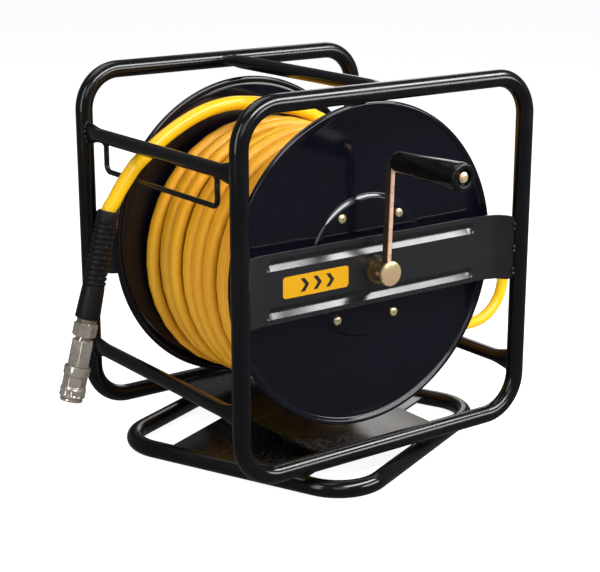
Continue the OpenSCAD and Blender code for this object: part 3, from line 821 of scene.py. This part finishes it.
def make_screws():
    """Pan heads with a cross recess."""
    seat = FLANGE_Y + 0.003 + SHEET
    for node, place, flip in (("front_screws", FRONT, -1), ("rear_screws", REAR, 1)):
        place = place @ Matrix.Rotation(flip * DRUM_TURN, 4, "Z")
        shape = Shape()
        for index, (sx, sz) in enumerate(((1, 1), (-1, 1), (-1, -1), (1, -1))):
            turn = Matrix.Rotation(0.4 + 1.3 * index, 4, "Z")
            spot = place @ Matrix.Translation((sx * SCREW_X, sz * SCREW_Z, seat)) @ turn
            rings = []
            for radius in (0.0050, 0.0050, 0.0046, 0.0040, 0.0034, 0.0028, 0.0024, 0.0020, 0.0016, 0.0012,
                           0.0008, 0.0004, 0.00005):
                ring = []
                for j in range(64):
                    angle = math.tau * j / 64
                    x, y = radius * math.cos(angle), radius * math.sin(angle)
                    dome = 0.0033 * math.sqrt(max(0.0, 1 - (radius / 0.0054) ** 2)) ** 0.7
                    slot = min(abs(x), abs(y)) < 0.00045 and radius < 0.0027
                    ring.append(spot @ Vector((x, y, dome - (0.0014 if slot else 0))))
                rings.append(ring)
            rings[0] = [spot @ Vector((0.0050 * math.cos(math.tau * j / 64),
                                       0.0050 * math.sin(math.tau * j / 64), 0.0)) for j in range(64)]
            shape.grid(rings)
        shape.piece(node + "_heads", "drum", "yellow_zinc", YELLOW_ZINC, [node], crease=40)


# ---------- hub plates, tubes and welds ----------

GROOVE_Z, GROOVE_HALF, GROOVE_DEPTH = 0.0265, 0.0067, 0.0048
GROOVE_FROM, GROOVE_TO = -0.151, 0.147
HUB_SHEET = 0.0026
HUB_CORNER = 0.0065
HUB_BENDS = ((0.156, 0.003, 0.28), (0.1765, 0.0018, 1.30))    # x, softness, added slope


def hub_surface(x, z):
    """How far a hub plate's outer face stands from the drum's middle."""
    out = HUB_FACE
    for bend_x, knee, slope in HUB_BENDS:
        out += slope * knee * math.log(1 + math.exp((abs(x) - bend_x) / knee))
    for middle in (-GROOVE_Z, GROOVE_Z):
        across = abs(z - middle) / GROOVE_HALF
        ends = ease((x - GROOVE_FROM) / 0.009) * ease((GROOVE_TO - x) / 0.009)
        out -= GROOVE_DEPTH * ends * min(1.0, max(0.0, (1 - across) / 0.86))
    return out


def hub_rows():
    """Heights of the plate's rows: close together over the grooves."""
    shares = (-1.12, -1.0, -0.9, -0.7, -0.5, -0.3, -0.14, -0.05, 0.05, 0.14, 0.3, 0.5, 0.7, 0.9, 1.0, 1.12)
    rows = [s * GROOVE_HALF + m for m in (-GROOVE_Z, GROOVE_Z) for s in shares]
    rows += [-HUB_HALF_H, -0.0375, -0.0355, 0.0355, 0.0375, HUB_HALF_H]
    rows += [0.004 * k for k in range(-4, 5)]
    return sorted(rows)


def make_hub_plates():
    for node, place in (("front_hub_plate", FRONT), ("rear_hub_plate", REAR)):
        columns = []
        for k in range(-188, 189, 2):
            x = k / 1000
            past = max(0.0, abs(x) - (HUB_END - HUB_CORNER))
            height = HUB_HALF_H - (HUB_CORNER - math.sqrt(max(0.0, HUB_CORNER ** 2 - past ** 2)))
            columns.append([place @ Vector((x, z * height / HUB_HALF_H, hub_surface(x, z)))
                            for z in hub_rows()])
        plate = Shape().grid(columns, round_it=False).piece(
            node + "_pressed", "frame", "frame_black", HUB_BLACK, [node], crease=24)
        thicken = plate.modifiers.new("sheet", "SOLIDIFY")
        thicken.thickness = HUB_SHEET
        thicken.offset = -1 if facing_out(plate, place) else 1
        soften = plate.modifiers.new("soft_edges", "BEVEL")
        soften.width = 0.0009
        soften.segments = 3
        soften.limit_method = "ANGLE"
        soften.angle_limit = math.radians(60)


def facing_out(plate, place):
    """Whether the plate's faces look away from the drum."""
    out = place.to_3x3() @ Vector((0, 0, 1))
    return plate.data.polygons[len(plate.data.polygons) // 2].normal.dot(out) > 0


def make_cross_tube(node, x, z, flare_up):
    """A tube between the end loops, with its ends flattened against them."""
    wide, thin, run = 0.0135, 0.0042, 0.030
    reach = LOOP_Y - TUBE_R * 0.6
    path = [at(x, lerp(-reach, reach, k / 60), z) for k in range(61)]

    def section(share, along):
        left = min(along, 2 * reach - along)
        flat = ease(1 - left / run)
        a, b = lerp(CROSS_R, wide, flat), lerp(CROSS_R, thin, flat)
        if flare_up:
            a, b = b, a
        return [(a * math.cos(math.tau * k / 32), b * math.sin(math.tau * k / 32)) for k in range(32)]

    Shape().swept(path, section, (1, 0, 0)).piece(
        node + "_flattened", "frame", "frame_black", FRAME_BLACK, [node], crease=60)
    rings = []
    for side in (-1, 1):
        ring = []
        for k in range(29):
            angle = math.tau * k / 28
            along, off = wide * 1.02 * math.cos(angle), thin * 1.1 * math.sin(angle)
            y = side * (LOOP_Y - math.sqrt(TUBE_R ** 2 - off ** 2))
            ring.append(at(x + off, y, z + along) if flare_up else at(x + along, y, z + off))
        rings.append(ring)
    return rings


def bead(shape, path, radius, seed):
    """A weld bead with its ripples."""
    def section(share, along):
        size = radius * (1 + 0.22 * math.sin(along / 0.0009) + 0.3 * wave(along * 300, seed))
        size *= max(0.35, min(1.0, share * 12, (1 - share) * 12))
        return [(size * math.cos(math.tau * k / 10), size * math.sin(math.tau * k / 10)) for k in range(10)]
    fine = smooth_route(path, 4)
    shape.swept(fine, section, (0.3, 0.2, 0.9))


def straight(a, b, count=8):
    return [Vector(a).lerp(Vector(b), k / count) for k in range(count + 1)]


def make_frame_welds(tube_ends):
    shape = Shape()
    for index, ring in enumerate(tube_ends):
        bead(shape, ring, 0.0014, index)
    for place, seed in ((FRONT, 20), (REAR, 30)):
        for side in (-1, 1):
            for k, z in enumerate((-0.027, 0, 0.027)):
                x, out = side * (HUB_END - 0.0002), LOOP_Y + 0.0005
                ends = [place @ Vector((x, z + step, out)) for step in (-0.005, 0.005)]
                bead(shape, straight(*ends), 0.0022, seed + 3 * side + k)
    for side in (-1, 1):
        for k, x in enumerate((-0.066, 0, 0.066)):
            y = side * (PLATE_HALF + 0.0004)
            ends = [at(x + step, y, 0.0380) for step in (-0.010, 0.010)]
            bead(shape, straight(*ends), 0.0017, 40 + k + 3 * side)
    for k, y in enumerate((-0.120, 0.110)):
        ring = [at(-LOOP_X + 0.0036 * math.cos(math.tau * j / 12), y + 0.0036 * math.sin(math.tau * j / 12),
                   UPPER_Z - CROSS_R * 0.93) for j in range(13)]
        bead(shape, ring, 0.0011, 50 + k)
    shape.piece("frame_weld_beads", "frame", "frame_black", FRAME_BLACK, crease=60)


def make_base_welds():
    shape = Shape()
    turn = Matrix.Rotation(BASE_TURN, 4, "Z")
    for side in (-1, 1):
        for k, v in enumerate((-0.065, 0, 0.065)):
            ends = [turn @ Vector((side * 0.1500, v + step, 0.0146)) for step in (-0.012, 0.012)]
            bead(shape, straight(at(*ends[0]), at(*ends[1])), 0.0018, 60 + k + 3 * side)
    ring = [at(0.0284 * math.cos(math.tau * j / 40), 0.0284 * math.sin(math.tau * j / 40), 0.0144)
            for j in range(41)]
    bead(shape, ring, 0.0016, 70)
    shape.piece("base_weld_beads", "base", "frame_black", FRAME_BLACK, crease=60)


# ---------- crank ----------


def make_crank():
    bar = rounded_box(0.010, 0.006, 0.0013)
    path = [CRANK @ Vector((0, lerp(-0.008, CRANK_R - BAR_BEND, k / 30), BAR_Y)) for k in range(31)]
    for k in range(1, 13):
        angle = math.pi / 2 * k / 12
        path.append(CRANK @ Vector((0, CRANK_R - BAR_BEND + BAR_BEND * math.sin(angle),
                                    BAR_Y + BAR_BEND * (1 - math.cos(angle)))))
    path.append(CRANK @ Vector((0, CRANK_R, BAR_Y + BAR_BEND + 0.002)))
    shape = Shape().swept(path, lambda share, along: bar, (0, 1, 0))
    tip = GRIP_FROM + GRIP_LENGTH - 0.0030
    shape.turned([(0.0, GRIP_FROM), (0.004, GRIP_FROM), (0.004, tip), (0.0, tip)], GRIP_AXIS, 32)
    shape.piece("crank_bar_bent", "drum", "yellow_zinc", ZINC_BAR, ["crank_arm"], crease=40)

    low = HUB_FACE + 0.0054
    hub = Shape().turned([
        (0.0081, low), (0.0112, low), (0.0118, low + 0.0005), (0.0118, 0.1592), (0.0114, 0.1597),
        (0.0128, 0.1599), (0.0136, 0.1602), (0.0140, 0.1608), (0.0140, 0.1629), (0.0137, 0.1636),
        (0.0129, 0.1640), (0.0, 0.16405)], CRANK, 96)
    hub = hub.piece("crank_hub_capped", "drum", "yellow_zinc", YELLOW_ZINC, ["crank_hub"], crease=35)
    # The sleeve below the cap gets the darker zinc copy: painted shade under the cap.
    hub.data.materials.append(ZINC_SHADED)
    to_crank = CRANK.inverted()
    for face in hub.data.polygons:
        if (to_crank @ face.center).z < 0.1598:
            face.material_index = 1

    head = tip
    rivet = Shape().turned([
        (0.0, head), (0.0056, head), (0.0058, head + 0.0004), (0.0058, head + 0.0016),
        (0.0054, head + 0.0021), (0.0047, head + 0.0023), (0.0044, head + 0.0030),
        (0.0034, head + 0.0034), (0.0018, head + 0.0036), (0.0, head + 0.0036)], GRIP_AXIS, 64)
    rivet.piece("grip_rivet_head", "drum", "yellow_zinc", YELLOW_ZINC, ["grip_rivet"], crease=35)


def make_grip():
    low, high = GRIP_FROM, GRIP_FROM + GRIP_LENGTH
    profile = [(0.0042, low), (0.0088, low), (0.0102, low + 0.0006), (0.0112, low + 0.0020),
               (0.0116, low + 0.0045), (0.0118, low + 0.012)]
    for k in range(1, 13):
        share = k / 12
        profile.append((lerp(0.0118, 0.0150, ease(share) * 0.5 + share * 0.5),
                        low + lerp(0.012, 0.096, share)))
    profile += [(0.0154, high - 0.0070), (0.0155, high - 0.0040), (0.0152, high - 0.0018),
                (0.0144, high - 0.0005), (0.0132, high), (0.0104, high), (0.0096, high - 0.0004),
                (0.0092, high - 0.0014), (0.0090, high - 0.0046), (0.0042, high - 0.0050)]
    Shape().turned(profile, GRIP_AXIS, 96, loop=True).piece(
        "grip_handle", "grip", "grip_black", GRIP_BLACK, ["crank_grip"], crease=40)


# ---------- label ----------


def make_label_arrows():
    """Plain chevrons that show which way the crank winds."""
    low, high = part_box("hub_label")
    middle, out = (low + high) / 2, low.y - 0.00012
    shape = Shape()
    for k in (-1, 0, 1):
        x0 = middle.x + 0.017 * k - 0.004
        outer = [(0, 0.0075), (0.0055, 0.0075), (0.0115, 0), (0.0055, -0.0075), (0, -0.0075), (0.006, 0)]
        ring = [Vector((x0 + x, out, middle.z + z)) for x, z in outer]
        back = [p + Vector((0, 0.0003, 0)) for p in ring]
        shape.grid([ring, back])
    shape.piece("label_chevrons", "frame", "label_yellow", LABEL_BLACK, crease=30)


# ---------- stage ----------

FLOOR_HALF = 9.0
WALL_RADIUS = 8.82
WALL_HEIGHT = 8.0
CAMERA_AT = (-1.0235, -1.3886, 0.6734)
CAMERA_AZIMUTH = math.radians(36.284)
CAMERA_FALL = math.radians(15.84)
CAMERA_LENS = 90.55

def softbox(name, place, target, width, height, power, colour=(1, 1, 1)):
    light = bpy.data.lights.new(name, "AREA")
    light.shape = "RECTANGLE"
    light.size, light.size_y = width, height
    light.energy = power
    light.color = colour
    lamp = bpy.data.objects.new(name, light)
    lamp.location = place
    lamp.rotation_mode = "QUATERNION"
    lamp.rotation_quaternion = (Vector(target) - Vector(place)).to_track_quat("-Z", "Y")
    bpy.context.scene.collection.objects.link(lamp)


def make_backdrop(radius, material):
    """A round pale wall far behind the object, which only the camera sees."""
    steps = 96
    ring = circle(radius, steps)(0, 0)
    mesh = bpy.data.meshes.new("backdrop")
    mesh.from_pydata([(x, y, z) for z in (0, WALL_HEIGHT) for x, y in ring], [],
                     [(k, (k + 1) % steps, steps + (k + 1) % steps, steps + k) for k in range(steps)])
    mesh.materials.append(material)
    wall = bpy.data.objects.new("backdrop", mesh)
    bpy.context.scene.collection.objects.link(wall)
    wall.visible_diffuse = wall.visible_glossy = wall.visible_transmission = wall.visible_shadow = False
    return wall


def make_stage():
    corners = ((-1, -1), (1, -1), (1, 1), (-1, 1))
    mesh = bpy.data.meshes.new("floor")
    mesh.from_pydata([(FLOOR_HALF * x, FLOOR_HALF * y, 0) for x, y in corners], [], [(0, 1, 2, 3)])
    mesh.materials.append(pale_floor())
    floor = bpy.data.objects.new("floor", mesh)
    bpy.context.scene.collection.objects.link(floor)
    floor.visible_glossy = False
    wall = make_backdrop(WALL_RADIUS, pale_floor())
    hub = at(0, -HUB_FACE, AXLE_Z)
    softbox("key", hub + Vector((0.39, -0.83, 1.09)), hub, 1.9, 0.34, 46)
    softbox("front_right", hub + Vector((1.02, -1.42, 0.46)), hub, 1.3, 0.42, 19)
    softbox("left_strip", at(-1.9, -0.5, 0.9), at(0, 0, 0.22), 0.5, 1.6, 14)
    softbox("top", at(-0.3, 0.5, 2.2), at(0, 0, 0.2), 1.8, 1.4, 18)
    softbox("back_right", at(1.6, 1.5, 1.2), at(0, 0, 0.2), 0.8, 1.4, 8)
    softbox("camera_side", at(-1.3, -2.2, 1.5), at(0, 0, 0.2), 1.2, 1.0, 9)
    world = bpy.data.worlds.new("studio")
    world.use_nodes = True
    world.node_tree.nodes["Background"].inputs["Color"].default_value = (1, 1, 1, 1)
    world.node_tree.nodes["Background"].inputs["Strength"].default_value = 0.14
    bpy.context.scene.world = world
    bpy.context.scene.view_settings.view_transform = "Standard"


def make_camera():
    """The camera stands left of the crank side and a little above."""
    data = bpy.data.cameras.new("camera")
    data.sensor_width, data.lens = 36, CAMERA_LENS
    data.clip_start, data.clip_end = 0.05, 50
    camera = bpy.data.objects.new("camera", data)
    bpy.context.scene.collection.objects.link(camera)
    camera.location = at(*CAMERA_AT)
    level = math.cos(CAMERA_FALL)
    ahead = Vector((math.sin(CAMERA_AZIMUTH) * level, math.cos(CAMERA_AZIMUTH) * level,
                    -math.sin(CAMERA_FALL)))
    camera.rotation_mode = "QUATERNION"
    camera.rotation_quaternion = ahead.to_track_quat("-Z", "Y")
    bpy.context.scene.camera = camera


# ---------- the scene ----------

make_camera()
make_stage()
dress_cad_nodes()
wound = make_wound_hose()
free_piece, free_path = make_free_hose(wound[-1])
lead_piece, lead_path = make_lead_hose()
boot = make_boot()
coupler = [make_stem(), make_nut(), make_coupler_body()]
sleeve = make_sleeve()
lead_ferrule, plug_pieces = make_lead_fittings()
make_inlet()
make_flanges()
make_screws()
make_hub_plates()
welds = make_cross_tube("handle_tube", 0, TOP_Z, False)
welds += make_cross_tube("upper_cross_tube", -LOOP_X, UPPER_Z, True)
welds += make_cross_tube("lower_left_cross_tube", -LOOP_X, LOWER_LEFT_Z, True)
welds += make_cross_tube("lower_right_cross_tube", LOOP_X, LOWER_RIGHT_Z, True)
make_frame_welds(welds)
make_base_welds()
make_crank()
make_grip()
make_label_arrows()
